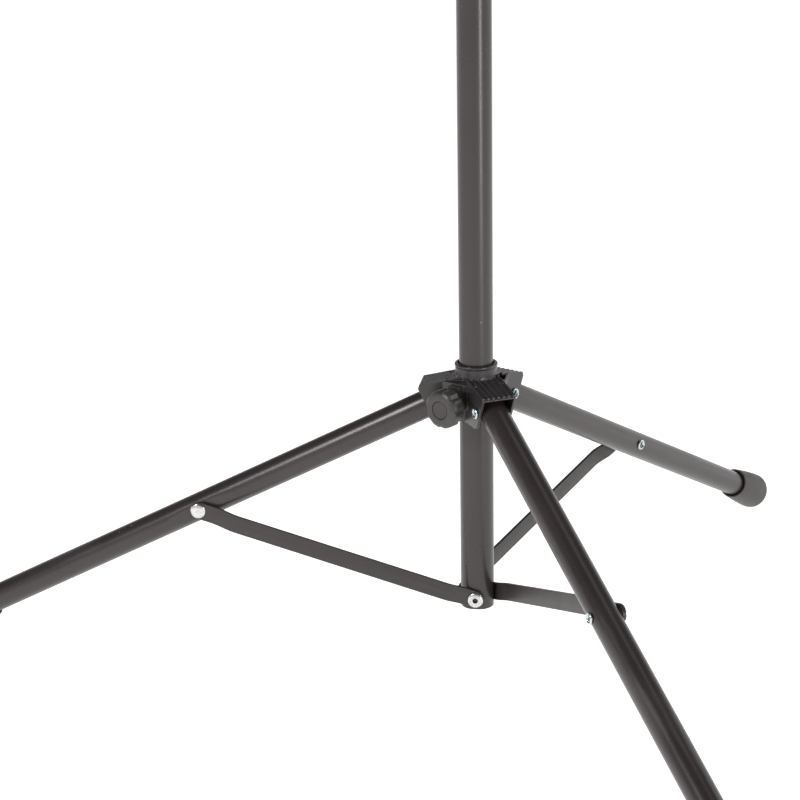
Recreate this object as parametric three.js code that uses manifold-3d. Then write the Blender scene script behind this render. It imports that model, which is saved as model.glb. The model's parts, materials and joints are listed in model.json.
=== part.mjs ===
// Folding speaker tripod stand: a two-stage mast, a sliding hub with three legs, and three
// braces that tie the legs to the foot of the mast. Millimetres, +Z up, floor at z = 0.
import * as THREE from 'three';
import { mergeVertices } from 'three/addons/utils/BufferGeometryUtils.js';
import Module from 'manifold-3d';

const wasm = await Module();
wasm.setup();

// ---- Driving dimensions -------------------------------------------------------------------
const GAP = 0.3;                     // clearance between pieces that touch

// Legs: azimuth of each leg in degrees. The hub knob faces -Y, midway between two legs.
const LEGS = { rear: 90, left: 210, right: 330 };
const KNOB_AZIMUTH = 270;
const LEG_OD = 31.5;
const LEG_WALL = 1.5;
const LEG_SLOPE = 26.4;              // degrees below horizontal when open
const LEG_LENGTH = 662;              // hub pivot to the outer end of the foot
const LEG_HEEL = 12;                 // tube beyond the hub pivot
const BRACE_AT = 308;                // hub pivot to brace pivot along the leg
const LEG_PRESS = 1.55;              // depth of the pressed flat under the brace
const LEG_FLAT_HALF = 16;            // half length of that flat along the leg
const LEG_FLAT_FADE = 22;            // run-out of the flat

// Feet: rubber cups pushed over the leg ends.
const FOOT_LENGTH = 63;
const FOOT_END = 6;                  // rubber beyond the end of the leg tube
const FOOT_LIP = 3.85;               // rubber outside the leg at the mouth
const FOOT_SPREAD = 7.75;            // rubber outside the leg at the end
const FOOT_MOUTH = 1.6;              // extra radius of the open mouth
const FOOT_MOUTH_DEPTH = 7;
const SOLE_CUT = 3.5;                // depth of the flat ground into the lowest corner

// Mast.
const MAST_OD = 38;
const MAST_WALL = 1.2;
const MAST_LENGTH = 1000;
const MAST_TAIL = 13;                // mast below the brace pivots
const BRACE_PIVOT_BELOW = 233;       // brace pivots on the mast below the hub pivots
const MAST_PRESS = 1.6;              // depth of the pressed flats at the foot of the mast
const MAST_FLAT_FADE = 28;
const POLE_CLEAR = 0.3;              // between the pole and the inside of the mast
const POLE_WALL = 1.5;
const POLE_FOOT = 136.8;             // lowered pole's end above the mast's pressed flats
const POLE_OUT = 92;                 // pole standing out of the collar when lowered
const CAP_EDGE = 2.5;
const CAP_HEIGHT = 6;
const PLUG_DEPTH = 22;

// Hub casting, heights measured from the leg pivots.
const HUB_CLEAR = 0.5;               // between the hub's bore and the mast
const HUB_WALL = 4.65;
const HUB_MOUTH = 1.2;               // extra radius of the bore's mouth
const HUB_MOUTH_DEPTH = 9;
const HUB_RIM = 14.6;                // barrel above the arms' roofs
const HUB_BOTTOM = -19;
const PIVOT_CLEAR = 1.05;            // between a leg's turning heel and the barrel
const ROOF_CLEAR = 0.52;             // between a leg's turning heel and the roof above it
const ROOF_SLOPE = 12.5;             // fall of an arm's roof, degrees
const ARM_CLEAR = 1.25;              // between a leg and the arm's side walls
const ARM_WALL = 3;
const ARM_REACH = 18.5;              // outer edge of an arm's roof beyond the pivot
const ARM_FOOT = 1;                  // outer lower corner of its side walls beyond the pivot
const ARM_FOOT_Z = -17.2;
const ARM_IN = 8;                    // the arms start inside the barrel, this far out
const RIB_COUNT = 7;
const RIB_WIDTH = 2.8;
const RIB_HEIGHT = 1.4;
const WEB_OUT = 10.85;               // straight edge of the webs beyond the barrel
const WEB_HALF = 22;
const WEB_THICK = 8;
const WEB_POCKET = { depth: 5, half: 9, edge: 2.5, inset: 1.5 };
const KNOB_RIB = { half: 8, back: 3 };

// Brace bars: flat bars on the left-hand side of each leg, looking outward.
const BAR_WIDTH = 20;
const BAR_THICK = 3.5;
const BAR_CLEAR = 2;                 // between the straight run of a bar and the hub's arm
const BAR_RISE = [12, 36];           // the joggle at the mast, from its pivot
const BAR_FALL = [48, 17];           // the joggle at the leg, back from its pivot
const WASHER_R = 8.5;                // spacer between a leg's flat and its bar

// Rivets: shank, the domed head and the flared tubular tail.
const SHANK_R = 4;
const BIG_HEAD = { radius: 8.9, height: 3.2 };
const SMALL_HEAD = { radius: 6.6, height: 2.4 };
const TAIL = { radius: 6.5, height: 2.4, bore: 3.9, depth: 7 };
const BLIND_BORE = { radius: 2.8, depth: 4 };

// Clamp knobs, with a stud and a pressure pad.
const KNOB = { radius: 21.5, depth: 18.5, lobes: 8, notch: 1.6, bevel: 2.2 };
const KNOB_NECK = { radius: 9.5, length: 2.8 };
const KNOB_CAP = { radius: 9.8, thick: 2, sunk: 0.5 };
const STUD_R = 4;
const PAD = { radius: 5.6, thick: 2.8 };
const PAD_TRAVEL = 2.5;
const BOSS_R = 10;
const BOSS_OUT = 21.85;              // outer face of the clamp bosses beyond the barrel
const BOSS_GAP = 1;                  // between a boss and its knob, clamped
const HUB_KNOB_Z = 5;                // hub knob axis above the leg pivots

// Clamp collar on top of the lower mast tube.
const COLLAR_BELOW = 40;             // grip on the lower tube
const COLLAR_ABOVE = 44;             // height above the lower tube
const COLLAR_KNOB_Z = 20;            // knob axis above the lower tube
const BUSH = { wall: 2.6, height: 14, flange: 1.8, lip: 1.6 };
const COLLAR_RIVET = { radius: 3.6, height: 1.6, shank: 2.2 };

// Sides of the turned shapes.
const SIDES = { mast: 30, tube: 28, leg: 20, ring: 20, rivet: 10, rod: 14 };

// ---- Derived places -----------------------------------------------------------------------
const rad = THREE.MathUtils.degToRad;
const slope = rad(LEG_SLOPE);
const legR = LEG_OD / 2;
const mastR = MAST_OD / 2;
const poleR = mastR - MAST_WALL - POLE_CLEAR;
const hubR = mastR + HUB_CLEAR + HUB_WALL;
const legFlat = legR - LEG_PRESS;
const mastFlat = mastR - MAST_PRESS;
const footLipR = legR + FOOT_LIP;
const footEndR = legR + FOOT_SPREAD;
const heelSweep = Math.hypot(LEG_HEEL, legR);
const pivotR = hubR + heelSweep + PIVOT_CLEAR;
const pivotZ = LEG_LENGTH * Math.sin(slope) + footEndR * Math.cos(slope) - SOLE_CUT;
const bracePivotZ = pivotZ - BRACE_PIVOT_BELOW;
const mastBottom = bracePivotZ - MAST_TAIL;
const mastTop = mastBottom + MAST_LENGTH;
const flatsTop = bracePivotZ + BAR_WIDTH / 2 + MAST_FLAT_FADE;
const braceEnd = new THREE.Vector2(
  pivotR + BRACE_AT * Math.cos(slope),
  BRACE_PIVOT_BELOW - BRACE_AT * Math.sin(slope));
const collarTop = mastTop + COLLAR_ABOVE;
const poleTop = collarTop + BUSH.flange + POLE_OUT;
const poleBottom = flatsTop + POLE_FOOT;

// An arm's roof clears the heel of its turning leg; these are heights above the leg pivots.
const roofSlope = rad(ROOF_SLOPE);
const roofAt = (x) =>
  (heelSweep + ROOF_CLEAR + ARM_WALL) / Math.cos(roofSlope) + RIB_HEIGHT +
  (pivotR - x) * Math.tan(roofSlope);
const armOut = pivotR + ARM_REACH;
const armWidth = LEG_OD + 2 * (ARM_CLEAR + ARM_WALL);
const webOut = hubR + WEB_OUT;
const webTop = roofAt(webOut);
const hubTop = roofAt(hubR) + HUB_RIM;
const bossOut = hubR + BOSS_OUT;
const barOffset = armWidth / 2 + BAR_CLEAR;

// ---- Materials ----------------------------------------------------------------------------
const paint = { color: '#2c2a2b', roughness: 0.42, metalness: 0.3 };
const casting = { color: '#262425', roughness: 0.48, metalness: 0.3 };
const plastic = { color: '#2b2a2a', roughness: 0.5, metalness: 0 };
const rubber = { color: '#3a3838', roughness: 0.75, metalness: 0 };
const zinc = { color: '#d8d8d6', roughness: 0.25, metalness: 1 };
const steel = { color: '#8d8f92', roughness: 0.35, metalness: 1 };
const nylon = { color: '#1d1d1e', roughness: 0.6, metalness: 0 };

// ---- Geometry helpers ---------------------------------------------------------------------
function toSolid(geometry) {
  const bare = geometry.clone();
  bare.deleteAttribute('normal');
  bare.deleteAttribute('uv');
  const merged = mergeVertices(bare, 1e-4);
  return new wasm.Manifold(new wasm.Mesh({
    numProp: 3,
    vertProperties: new Float32Array(merged.attributes.position.array),
    triVerts: new Uint32Array(merged.index.array),
  }));
}

function toGeometry(solid) {
  const mesh = solid.getMesh();
  const geometry = new THREE.BufferGeometry();
  geometry.setAttribute('position', new THREE.BufferAttribute(mesh.vertProperties, 3));
  geometry.setIndex(new THREE.BufferAttribute(mesh.triVerts, 1));
  geometry.computeVertexNormals();
  return geometry;
}

// Adds the first list of geometries together, then cuts away the second list.
function shape(added, cut = []) {
  let solid = toSolid(added[0]);
  for (const geometry of added.slice(1)) solid = solid.add(toSolid(geometry));
  for (const geometry of cut) solid = solid.subtract(toSolid(geometry));
  return toGeometry(solid);
}

function turned(points, segments) {
  return new THREE.LatheGeometry(points.map(([r, y]) => new THREE.Vector2(r, y)), segments);
}

const alongX = (geometry) => geometry.rotateZ(-Math.PI / 2);
const alongZ = (geometry) => geometry.rotateX(Math.PI / 2);

// A ring of rectangular section about Y.
function ring(inner, outer, low, high, segments) {
  return turned([[inner, low], [outer, low], [outer, high], [inner, high], [inner, low]], segments);
}

// A disc or rod about Y.
function rod(radius, low, high, segments = SIDES.rod) {
  return turned([[0, low], [radius, low], [radius, high], [0, high]], segments);
}

function block(x0, x1, y0, y1, z0, z1) {
  const box = new THREE.BoxGeometry(x1 - x0, y1 - y0, z1 - z0);
  return box.translate((x0 + x1) / 2, (y0 + y1) / 2, (z0 + z1) / 2);
}

// A tube about Y whose walls have extra rings at the given stations.
function tube(outer, wall, stations, segments) {
  const up = stations.map((y) => [outer, y]);
  const down = stations.map((y) => [outer - wall, y]).reverse();
  return turned([...up, ...down, up[0]], segments);
}

// A smooth step from 0 to 1.
const ease = (x) => THREE.MathUtils.smoothstep(x, 0, 1);

// Presses a flat into a tube: points beyond the flat's height on the given side move down
// to it. depthAt(run) gives how much of the flat is reached at a place along the tube.
function pressFlat(geometry, side, axis, radius, wall, flat, depthAt) {
  const position = geometry.attributes.position;
  const point = new THREE.Vector3();
  for (let i = 0; i < position.count; i += 1) {
    point.fromBufferAttribute(position, i);
    const run = point.dot(axis);
    const across = point.clone().addScaledVector(axis, -run);
    const inner = across.length() < radius - wall / 2 ? wall : 0;
    const limit = radius - (radius - flat) * depthAt(run) - inner;
    const height = point.dot(side);
    if (height > limit) point.addScaledVector(side, limit - height);
    position.setXYZ(i, point.x, point.y, point.z);
  }
  return geometry;
}

function piece(name, geometry, finish) {
  const mesh = new THREE.Mesh(geometry, new THREE.MeshStandardMaterial(finish));
  mesh.name = name;
  return mesh;
}

function group(...children) {
  const holder = new THREE.Group();
  holder.add(...children);
  return holder;
}

// ---- Rivets -------------------------------------------------------------------------------
// Profiles run about Y: the head is towards +Y and the tail towards -Y.
function domePoints({ radius, height }, seat, bore) {
  const points = [[radius, seat], [radius, seat + height * 0.35], [radius * 0.86, seat + height * 0.75]];
  if (!bore) return [...points, [radius * 0.5, seat + height], [0, seat + height]];
  return [
    ...points,
    [bore.radius + 0.8, seat + height],
    [bore.radius, seat + height - 0.6],
    [bore.radius, seat + height - bore.depth],
    [0, seat + height - bore.depth],
  ];
}

function tailPoints(seat) {
  return [
    [0, seat - TAIL.height + TAIL.depth],
    [TAIL.bore - 1, seat - TAIL.height + TAIL.depth],
    [TAIL.bore - 1, seat],
    [TAIL.bore, seat - TAIL.height],
    [TAIL.radius - 0.6, seat - TAIL.height],
    [TAIL.radius, seat - TAIL.height * 0.4],
    [TAIL.radius, seat],
  ];
}

function throughRivet(head, headSeat, tailSeat) {
  const shank = [[SHANK_R, tailSeat], [SHANK_R, headSeat]];
  return turned([...tailPoints(tailSeat), ...shank, ...domePoints(head, headSeat)], SIDES.rivet);
}

function tailHalfRivet(top, tailSeat) {
  return turned([...tailPoints(tailSeat), [SHANK_R, tailSeat], [SHANK_R, top], [0, top]], SIDES.rivet);
}

function headHalfRivet(head, headSeat, bottom) {
  const shank = [[0, bottom], [SHANK_R, bottom], [SHANK_R, headSeat]];
  return turned([...shank, ...domePoints(head, headSeat)], SIDES.rivet);
}

// A rivet whose tail opens inside a tube wall, with a bored head.
function blindRivet(head, headSeat, wallInside) {
  const tail = [
    [0, wallInside - 3.2],
    [SHANK_R + 1, wallInside - 3.2],
    [SHANK_R + 1.4, wallInside - 1.5],
    [SHANK_R + 1.4, wallInside - GAP],
    [SHANK_R, wallInside - GAP],
    [SHANK_R, headSeat],
  ];
  return turned([...tail, ...domePoints(head, headSeat, BLIND_BORE)], SIDES.rivet);
}

// ---- Legs and feet ------------------------------------------------------------------------
// A leg's own frame has +X along the leg from the hub pivot, +Y to the brace side and +Z
// away from the floor.
const legPlace = new THREE.Matrix4()
  .makeTranslation(pivotR, 0, pivotZ)
  .multiply(new THREE.Matrix4().makeRotationY(slope));

function legTube() {
  const end = LEG_LENGTH - FOOT_END;
  const flatEnd = LEG_FLAT_HALF + LEG_FLAT_FADE;
  const runs = [flatEnd, LEG_FLAT_HALF + LEG_FLAT_FADE / 2, LEG_FLAT_HALF];
  const stations = [
    -LEG_HEEL,
    ...runs.map((run) => BRACE_AT - run),
    ...runs.map((run) => BRACE_AT + run).reverse(),
    end,
  ];
  const body = alongX(tube(legR, LEG_WALL, stations, SIDES.leg));
  const side = new THREE.Vector3(0, 1, 0);
  const axis = new THREE.Vector3(1, 0, 0);
  pressFlat(body, side, axis, legR, LEG_WALL, legFlat, (run) =>
    1 - ease((Math.abs(run - BRACE_AT) - LEG_FLAT_HALF) / LEG_FLAT_FADE));
  const hole = rod(SHANK_R + GAP, -LEG_OD, LEG_OD, SIDES.rivet);
  return shape([body], [hole.clone(), hole.clone().translate(BRACE_AT, 0, 0)]);
}

function foot() {
  const start = LEG_LENGTH - FOOT_LENGTH;
  const mouth = legR + FOOT_MOUTH;
  const bore = legR + GAP;
  const bulge = (share) => {
    const grown = Math.sin(share * Math.PI / 2);
    return [footLipR + (footEndR - footLipR) * grown, start + 2 + (FOOT_LENGTH - 8) * share];
  };
  const cup = alongX(turned([
    [0, LEG_LENGTH],
    [0, LEG_LENGTH - FOOT_END + GAP],
    [bore, LEG_LENGTH - FOOT_END + GAP],
    [bore, start + FOOT_MOUTH_DEPTH],
    [mouth, start + FOOT_MOUTH_DEPTH - 2],
    [mouth, start],
    [footLipR - 0.8, start],
    ...[0, 0.3, 0.6, 1].map(bulge),
    [footEndR - 1.2, LEG_LENGTH - 1.8],
    [footEndR - 4, LEG_LENGTH],
    [0, LEG_LENGTH],
  ], SIDES.ring));
  const below = block(0, 2 * LEG_LENGTH, -LEG_OD, LEG_OD, -2 * LEG_OD, 0);
  return shape([cup], [below.applyMatrix4(legPlace.clone().invert())]);
}

function leg(name) {
  const parts = group(
    piece(`leg_tube_${name}`, legTube(), paint),
    piece(`leg_foot_${name}`, foot(), rubber));
  const spacer = ring(SHANK_R + GAP, WASHER_R, legFlat + GAP, legR, SIDES.rod);
  const onPivot = group(
    piece(`brace_washer_${name}`, spacer, nylon),
    piece(`brace_rivet_tail_${name}`, tailHalfRivet(legR, -legR - GAP), zinc));
  onPivot.position.x = BRACE_AT;
  parts.add(onPivot);
  parts.applyMatrix4(legPlace);
  return parts;
}

// ---- Braces -------------------------------------------------------------------------------
// A brace's own frame has +X from the mast pivot to the leg pivot and +Y away from the leg.
const braceLength = braceEnd.length();
const braceSlope = Math.atan2(braceEnd.y, braceEnd.x);
const barAtMast = mastFlat + GAP;   // inner face where the bar meets the mast
const barAtLeg = legR + GAP;        // inner face at the leg, clear of the round tube

// Edge view of the bar: one face drawn out along the bar, the other drawn back.
function barEdge() {
  const mastEnd = -BAR_WIDTH;
  const legEnd = braceLength + BAR_WIDTH;
  const fall = BAR_FALL.map((back) => braceLength - back);
  const edge = new THREE.Shape();
  const face = (start, end, shift) => {
    const half = (a, b) => (a + b) / 2;
    const steps = [[BAR_RISE, barAtMast, barOffset], [fall, barOffset, barAtLeg]];
    const ordered = start < end ? steps : steps.reverse().map(([r, a, b]) => [[r[1], r[0]], b, a]);
    for (const [[x0, x1], y0, y1] of ordered) {
      edge.lineTo(x0, y0 + shift);
      edge.bezierCurveTo(half(x0, x1), y0 + shift, half(x0, x1), y1 + shift, x1, y1 + shift);
    }
    edge.lineTo(end, (start < end ? barAtLeg : barAtMast) + shift);
  };
  edge.moveTo(mastEnd, barAtMast);
  face(mastEnd, legEnd, 0);
  edge.lineTo(legEnd, barAtLeg + BAR_THICK);
  face(legEnd, mastEnd, BAR_THICK);
  return edge;
}

function braceBar() {
  const flat = { depth: BAR_WIDTH, bevelEnabled: false, curveSegments: 5 };
  const strip = new THREE.ExtrudeGeometry(barEdge(), flat);
  strip.translate(0, 0, -BAR_WIDTH / 2);
  const outline = new THREE.Shape();
  outline.absarc(0, 0, BAR_WIDTH / 2, Math.PI / 2, Math.PI * 1.5, false);
  outline.absarc(braceLength, 0, BAR_WIDTH / 2, -Math.PI / 2, Math.PI / 2, false);
  for (const x of [0, braceLength]) {
    const hole = new THREE.Path();
    hole.absarc(x, 0, SHANK_R + GAP, 0, Math.PI * 2, true);
    outline.holes.push(hole);
  }
  const reach = 2 * barOffset;
  const through = { depth: reach, bevelEnabled: false, curveSegments: 9 };
  const face = new THREE.ExtrudeGeometry(outline, through);
  face.rotateX(Math.PI / 2).translate(0, reach, 0);
  return toGeometry(toSolid(strip).intersect(toSolid(face)));
}

function brace(name) {
  const headSeat = barAtLeg + BAR_THICK + GAP;
  const head = piece(`brace_rivet_head_${name}`, headHalfRivet(BIG_HEAD, headSeat, barAtLeg), zinc);
  head.position.x = braceLength;
  const parts = group(piece(`brace_bar_${name}`, braceBar(), paint), head);
  parts.position.z = bracePivotZ;
  parts.rotation.y = -braceSlope;
  return parts;
}

function mastRivet(name) {
  const seat = barAtMast + BAR_THICK + GAP;
  const rivet = piece(`mast_rivet_${name}`, blindRivet(BIG_HEAD, seat, mastFlat - MAST_WALL), zinc);
  rivet.position.z = bracePivotZ;
  return rivet;
}

// ---- Clamp knob ---------------------------------------------------------------------------
// Built about +Y, which points out of the mast. The mast axis is at y = 0.
function knobOutline() {
  const outline = new THREE.Shape();
  const steps = 5 * KNOB.lobes;
  const radius = KNOB.radius - KNOB.bevel;
  for (let i = 0; i < steps; i += 1) {
    const angle = 2 * Math.PI * i / steps;
    const notch = Math.max(0, Math.cos(KNOB.lobes * angle)) ** 2;
    const r = radius - KNOB.notch * notch;
    if (i === 0) outline.moveTo(r, 0);
    else outline.lineTo(r * Math.cos(angle), r * Math.sin(angle));
  }
  return outline;
}

function knobBody(back) {
  const front = back + KNOB_NECK.length + KNOB.depth;
  const grip = new THREE.ExtrudeGeometry(knobOutline(), {
    depth: KNOB.depth - 2 * KNOB.bevel,
    bevelThickness: KNOB.bevel,
    bevelSize: KNOB.bevel,
    bevelSegments: 2,
  });
  grip.rotateX(-Math.PI / 2).translate(0, back + KNOB_NECK.length + KNOB.bevel, 0);
  const neck = rod(KNOB_NECK.radius, back, back + KNOB_NECK.length + 1);
  const recess = rod(KNOB_CAP.radius + GAP, front - KNOB_CAP.thick - KNOB_CAP.sunk - GAP, front + 1);
  const studHole = rod(STUD_R + GAP, back - 1, front - 6 + GAP, SIDES.rivet);
  return shape([grip, neck], [recess, studHole]);
}

// The pieces of one clamp, for a stud that bears on a tube of the given radius.
function clamp(name, tubeRadius) {
  const back = bossOut + BOSS_GAP;
  const front = back + KNOB_NECK.length + KNOB.depth;
  const capBack = front - KNOB_CAP.thick - KNOB_CAP.sunk;
  const padIn = tubeRadius + GAP;
  const padOut = padIn + PAD.thick;
  const cap = turned([
    [0, capBack],
    [KNOB_CAP.radius, capBack],
    [KNOB_CAP.radius, capBack + KNOB_CAP.thick - 0.4],
    [KNOB_CAP.radius - 0.6, capBack + KNOB_CAP.thick],
    [0, capBack + KNOB_CAP.thick],
  ], SIDES.rod);
  return group(
    piece(`${name}_knob`, knobBody(back), plastic),
    piece(`${name}_knob_cap`, cap, plastic),
    piece(`${name}_stud`, rod(STUD_R, padOut + GAP, front - 6, SIDES.rivet), steel),
    piece(`${name}_pad`, rod(PAD.radius, padIn, padOut), nylon));
}

// The cuts a clamp needs in the casting that carries it.
function clampCuts(tubeRadius) {
  const pocket = tubeRadius + GAP + PAD.thick + PAD_TRAVEL + 1;
  return [
    rod(PAD.radius + 0.5, tubeRadius / 2, pocket),
    rod(STUD_R + GAP, 0, 2 * bossOut, SIDES.rivet),
  ];
}

const turnAbout = (geometry, azimuth) => geometry.rotateZ(rad(azimuth));

// ---- Hub ----------------------------------------------------------------------------------
// Side view of an arm in its own plane; X runs outward from the mast axis.
function extrudeAcross(points, width) {
  const outline = new THREE.Shape(points.map(([x, z]) => new THREE.Vector2(x, z)));
  const solid = new THREE.ExtrudeGeometry(outline, { depth: width, bevelEnabled: false });
  return solid.rotateX(Math.PI / 2).translate(0, width / 2, 0);
}

function armBlock() {
  const foot = pivotR + ARM_FOOT;
  return extrudeAcross([
    [ARM_IN, HUB_BOTTOM],
    [hubR + 4, HUB_BOTTOM],
    [foot - 2.5, ARM_FOOT_Z - 1.8],
    [foot, ARM_FOOT_Z],
    [armOut, roofAt(armOut) - 4],
    [armOut - 1.5, roofAt(armOut - 1.5)],
    [ARM_IN, roofAt(ARM_IN)],
  ], armWidth);
}

function armChannel() {
  const under = (x) => roofAt(x) - ARM_WALL / Math.cos(roofSlope) - RIB_HEIGHT;
  const far = 2 * armOut;
  return extrudeAcross([
    [ARM_IN, 3 * HUB_BOTTOM],
    [far, 3 * HUB_BOTTOM],
    [far, under(far)],
    [ARM_IN, under(ARM_IN)],
  ], armWidth - 2 * ARM_WALL);
}

// The grooves that leave lengthwise ribs on an arm's roof.
function armGrooves() {
  const pitch = (armWidth - RIB_WIDTH) / (RIB_COUNT - 1);
  const grooves = [];
  for (let i = 0; i < RIB_COUNT - 1; i += 1) {
    const y0 = -armWidth / 2 + RIB_WIDTH + i * pitch;
    const groove = block(-armOut, armOut, y0, y0 + pitch - RIB_WIDTH, -RIB_HEIGHT, HUB_WALL);
    grooves.push(groove.rotateY(roofSlope).translate(armOut, 0, roofAt(armOut)));
  }
  return grooves;
}

function hub() {
  const azimuths = Object.values(LEGS);
  const between = azimuths.map((azimuth) => azimuth + 180 / azimuths.length);
  const far = 2 * armOut;
  const arms = azimuths.map((azimuth) => turnAbout(armBlock(), azimuth));
  const web = () => block(0, webOut, -WEB_HALF, WEB_HALF, webTop - WEB_THICK, webTop);
  const webs = between.map((azimuth) => turnAbout(web(), azimuth));
  const { depth, half, edge, inset } = WEB_POCKET;
  const pocket = () => block(hubR + inset, webOut - edge, -half, half, webTop - depth, hubTop);
  const pockets = between
    .filter((azimuth) => azimuth !== KNOB_AZIMUTH)
    .map((azimuth) => turnAbout(pocket(), azimuth));
  const channels = azimuths.map((azimuth) => turnAbout(armChannel(), azimuth));
  const grooves = azimuths.flatMap((azimuth) => armGrooves().map((cut) => turnAbout(cut, azimuth)));
  const holes = azimuths.map((azimuth) =>
    turnAbout(rod(SHANK_R + GAP, -far, far, SIDES.rivet).translate(pivotR, 0, 0), azimuth));
  const barrel = alongZ(turned([
    [0, HUB_BOTTOM],
    [hubR, HUB_BOTTOM],
    [hubR, hubTop - 2.4],
    [hubR - 0.7, hubTop - 0.7],
    [hubR - 2.4, hubTop],
    [0, hubTop],
  ], SIDES.tube));
  const boreR = mastR + HUB_CLEAR;
  const bore = alongZ(turned([
    [0, 2 * HUB_BOTTOM],
    [boreR, 2 * HUB_BOTTOM],
    [boreR, hubTop - HUB_MOUTH_DEPTH - 2],
    [boreR + HUB_MOUTH, hubTop - HUB_MOUTH_DEPTH],
    [boreR + HUB_MOUTH, 2 * hubTop],
    [0, 2 * hubTop],
  ], SIDES.tube));
  const toKnob = (geometry) => turnAbout(geometry.translate(0, 0, HUB_KNOB_Z), KNOB_AZIMUTH - 90);
  const boss = toKnob(rod(BOSS_R, ARM_IN, bossOut, SIDES.ring));
  const rib = turnAbout(
    block(ARM_IN, bossOut - KNOB_RIB.back, -KNOB_RIB.half, KNOB_RIB.half, HUB_KNOB_Z, webTop - 2),
    KNOB_AZIMUTH);
  const core = toGeometry(
    [...arms, ...webs].map(toSolid).reduce((sum, next) => sum.add(next)));
  const open = shape([core], [...channels, ...grooves, ...pockets]);
  return shape([open, barrel, boss, rib], [bore, ...holes, ...clampCuts(mastR).map(toKnob)]);
}

function hubPivot() {
  return throughRivet(SMALL_HEAD, armWidth / 2 + GAP, -armWidth / 2 - GAP);
}

// ---- Mast ---------------------------------------------------------------------------------
function lowerTube() {
  const stations = [
    mastBottom,
    bracePivotZ + BAR_WIDTH / 2,
    bracePivotZ + BAR_WIDTH / 2 + MAST_FLAT_FADE / 2,
    flatsTop,
    mastTop,
  ];
  const body = tube(mastR, MAST_WALL, stations, SIDES.mast).rotateX(Math.PI / 2);
  const axis = new THREE.Vector3(0, 0, 1);
  const holes = [];
  for (const azimuth of Object.values(LEGS)) {
    const side = new THREE.Vector3(-Math.sin(rad(azimuth)), Math.cos(rad(azimuth)), 0);
    pressFlat(body, side, axis, mastR, MAST_WALL, mastFlat, (run) =>
      1 - ease((run - bracePivotZ - BAR_WIDTH / 2) / MAST_FLAT_FADE));
    const hole = rod(SHANK_R + GAP, mastR / 2, MAST_OD, SIDES.rivet);
    holes.push(turnAbout(hole.translate(0, 0, bracePivotZ), azimuth));
  }
  for (const azimuth of [0, 180]) holes.push(collarRivetHole(azimuth));
  return shape([body], holes);
}

const collarRivetZ = mastTop - COLLAR_BELOW / 2;

function collarRivetHole(azimuth) {
  const hole = rod(COLLAR_RIVET.shank + GAP, mastR / 2, 2 * hubR, SIDES.rivet);
  return turnAbout(hole.rotateZ(-Math.PI / 2).translate(0, 0, collarRivetZ), azimuth);
}

function collarRivet(azimuth) {
  const seat = hubR + GAP;
  const rivet = turned([
    [0, mastR - MAST_WALL + 0.05],
    [COLLAR_RIVET.shank, mastR - MAST_WALL + 0.05],
    [COLLAR_RIVET.shank, seat],
    [COLLAR_RIVET.radius, seat],
    [COLLAR_RIVET.radius * 0.8, seat + COLLAR_RIVET.height * 0.7],
    [COLLAR_RIVET.radius * 0.4, seat + COLLAR_RIVET.height],
    [0, seat + COLLAR_RIVET.height],
  ], SIDES.rivet);
  return turnAbout(rivet.rotateZ(-Math.PI / 2).translate(0, 0, collarRivetZ), azimuth);
}

// The collar casting: a socket over the lower tube, a shoulder and a seat for the bush.
function collar() {
  const body = alongZ(turned([
    [0, mastTop - COLLAR_BELOW],
    [hubR - 1.5, mastTop - COLLAR_BELOW],
    [hubR, mastTop - COLLAR_BELOW + 1.5],
    [hubR, mastTop - 8],
    [hubR + 2, mastTop - 2],
    [hubR + 2, collarTop - 2],
    [hubR, collarTop],
    [0, collarTop],
  ], SIDES.tube));
  const seat = poleR + GAP + BUSH.wall + GAP;
  const bore = alongZ(turned([
    [0, mastTop - 2 * COLLAR_BELOW],
    [mastR + GAP, mastTop - 2 * COLLAR_BELOW],
    [mastR + GAP, mastTop + GAP],
    [poleR + 2 * GAP, mastTop + GAP],
    [poleR + 2 * GAP, collarTop - BUSH.height],
    [seat, collarTop - BUSH.height],
    [seat, 2 * collarTop],
    [0, 2 * collarTop],
  ], SIDES.tube));
  const toKnob = (geometry) =>
    turnAbout(geometry.translate(0, 0, mastTop + COLLAR_KNOB_Z), KNOB_AZIMUTH - 90);
  const boss = toKnob(rod(BOSS_R, ARM_IN, bossOut, SIDES.ring));
  const gusset = turnAbout(
    extrudeAcross([
      [ARM_IN, mastTop - COLLAR_BELOW + 6],
      [hubR + 1, mastTop - COLLAR_BELOW + 6],
      [bossOut - 6, mastTop + COLLAR_KNOB_Z],
      [ARM_IN, mastTop + COLLAR_KNOB_Z],
    ], BOSS_R), KNOB_AZIMUTH);
  const rivetHoles = [0, 180].map(collarRivetHole);
  return shape([body, boss, gusset], [bore, ...rivetHoles, ...clampCuts(poleR).map(toKnob)]);
}

function collarBush() {
  const inner = poleR + GAP;
  const outer = inner + BUSH.wall;
  const low = collarTop - BUSH.height + GAP;
  const flangeLow = collarTop + GAP;
  return alongZ(turned([
    [inner, low],
    [outer, low],
    [outer, flangeLow],
    [outer + BUSH.lip, flangeLow],
    [outer + BUSH.lip - 0.6, collarTop + BUSH.flange],
    [inner + 0.8, collarTop + BUSH.flange],
    [inner, collarTop + BUSH.flange - 0.8],
    [inner, low],
  ], SIDES.ring));
}

function poleTube() {
  return alongZ(ring(poleR - POLE_WALL, poleR, poleBottom, poleTop, SIDES.ring));
}

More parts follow.
